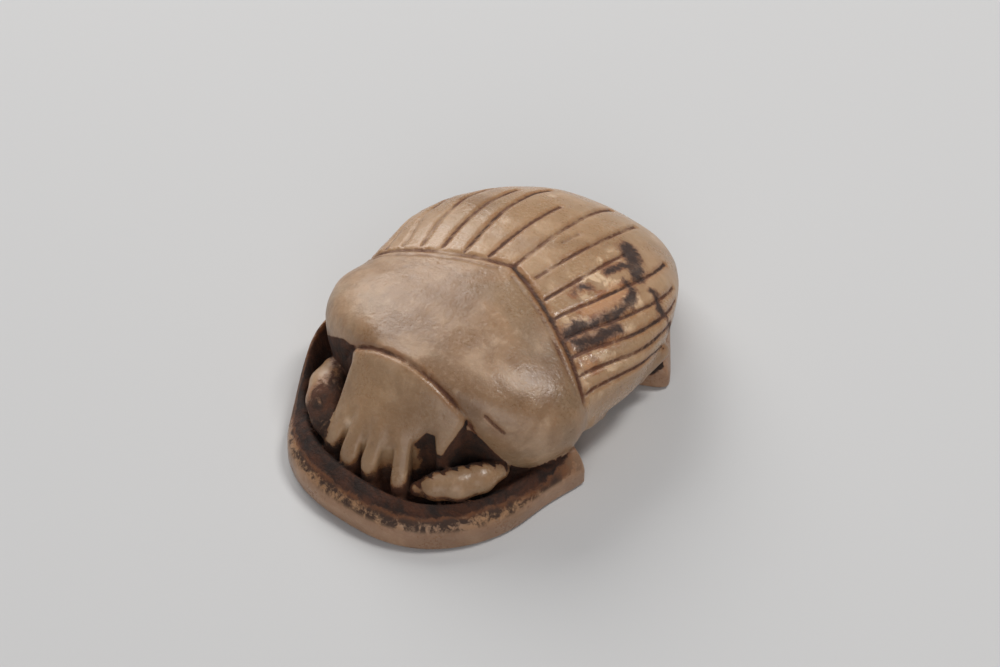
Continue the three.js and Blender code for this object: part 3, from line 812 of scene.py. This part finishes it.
    # roughness
    r = N.add(0.34, N.mul(N.sub(cloud, 0.5), 0.45))
    r = N.add(r, N.mul(N.sub(grain, 0.5), 0.25))
    r = N.sub(r, N.add(N.mul(wing, 0.04), N.mul(rub, 0.14)))
    r = N.add(r, N.mul(dirty, 0.5))
    r = N.low(N.top(r, 0.15), 0.95)

    # relief, in millimetres
    h = N.mul(N.sub(cloud, 0.5), 0.035)
    h = N.add(h, N.mul(N.sub(small, 0.5), 0.028))
    h = N.add(h, N.mul(N.sub(grain, 0.5), 0.013))
    h = N.sub(h, N.mul(core, 0.035))
    h = N.add(h, N.mul(N.mul(N.top(dirt, crust), N.sub(ragged, 0.45)), 0.09))
    h = N.sub(h, N.mul(N.step(N.cells(0.8, 21), 0.16, 0.04), 0.012))
    h = N.add(h, N.mul(N.mul(mott, N.sub(ragged, 0.5)), 0.06))
    bump = N.t.nodes.new("ShaderNodeBump")
    bump.inputs["Strength"].default_value = 1.0
    bump.inputs["Distance"].default_value = MM
    N.put(bump.inputs["Height"], h)

    p = N.t.nodes.new("ShaderNodeBsdfPrincipled")
    N.put(p.inputs["Base Color"], c)
    N.put(p.inputs["Roughness"], r)
    N.t.links.new(bump.outputs["Normal"], p.inputs["Normal"])
    p.inputs["IOR"].default_value = 1.5
    p.inputs["Subsurface Weight"].default_value = 0.22
    p.inputs["Subsurface Radius"].default_value = (1.0, 0.62, 0.38)
    p.inputs["Subsurface Scale"].default_value = 0.0006
    out = N.t.nodes.new("ShaderNodeOutputMaterial")
    N.t.links.new(p.outputs[0], out.inputs["Surface"])
    return N.mat


stone.data.materials.append(stone_material())
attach(stone, "root")
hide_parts("scarab")

# ------------------------------------------------------------------ floor, light, camera
fm = bpy.data.meshes.new("floor")
R = 1.2
fm.from_pydata([(-R, -R, 0), (R, -R, 0), (R, R, 0), (-R, R, 0)], [], [(0, 1, 2, 3)])
floor = bpy.data.objects.new("floor", fm)
bpy.context.scene.collection.objects.link(floor)
FN = Nodes("floor_paper")
fp = FN.t.nodes.new("ShaderNodeBsdfPrincipled")
fp.inputs["Base Color"].default_value = srgb(205, 205, 205)
fp.inputs["Roughness"].default_value = 0.85
fo = FN.t.nodes.new("ShaderNodeOutputMaterial")
FN.t.links.new(fp.outputs[0], fo.inputs["Surface"])
fm.materials.append(FN.mat)

world = bpy.data.worlds.new("studio")
bpy.context.scene.world = world
world.use_nodes = True
world.node_tree.nodes["Background"].inputs["Color"].default_value = (0.86, 0.90, 1.0, 1.0)
world.node_tree.nodes["Background"].inputs["Strength"].default_value = 0.17


def softbox(name, at, to, size, watts, colour=(1, 1, 1)):
    l = bpy.data.lights.new(name, "AREA")
    l.shape = "RECTANGLE"; l.size, l.size_y = size
    l.energy = watts; l.color = colour
    o = bpy.data.objects.new(name, l)
    bpy.context.scene.collection.objects.link(o)
    o.location = at
    o.rotation_euler = (Vector(to) - Vector(at)).to_track_quat("-Z", "Y").to_euler()
    return o


MID = (0.0003, 0.0, 0.0027)
softbox("left", (-0.15, 0.075, 0.125), MID, (0.14, 0.14), 0.28, (1.0, 0.985, 0.96))
softbox("over", (0.044, 0.070, 0.185), MID, (0.03, 0.06), 0.17, (1.0, 0.98, 0.95))
softbox("fill", (0.10, -0.16, 0.10), MID, (0.16, 0.16), 0.14, (1.0, 0.98, 0.96))

AZ, EL, DIST = math.radians(38.383), math.radians(47.0), 0.081
back = Vector((math.sin(AZ) * math.cos(EL), -math.cos(AZ) * math.cos(EL), math.sin(EL)))
target = Vector((0.277, 0.055, 2.7)) * MM
cam = bpy.data.cameras.new("camera")
cam.sensor_width = 36.0
cam.lens = 2119.4 / 1000 * 36
cam.clip_start = 0.005
cam.clip_end = 10
eye = bpy.data.objects.new("camera", cam)
bpy.context.scene.collection.objects.link(eye)
eye.location = target + back * DIST
eye.rotation_euler = back.to_track_quat("Z", "Y").to_euler()
bpy.context.scene.camera = eye
bpy.context.scene.view_settings.view_transform = "Standard"
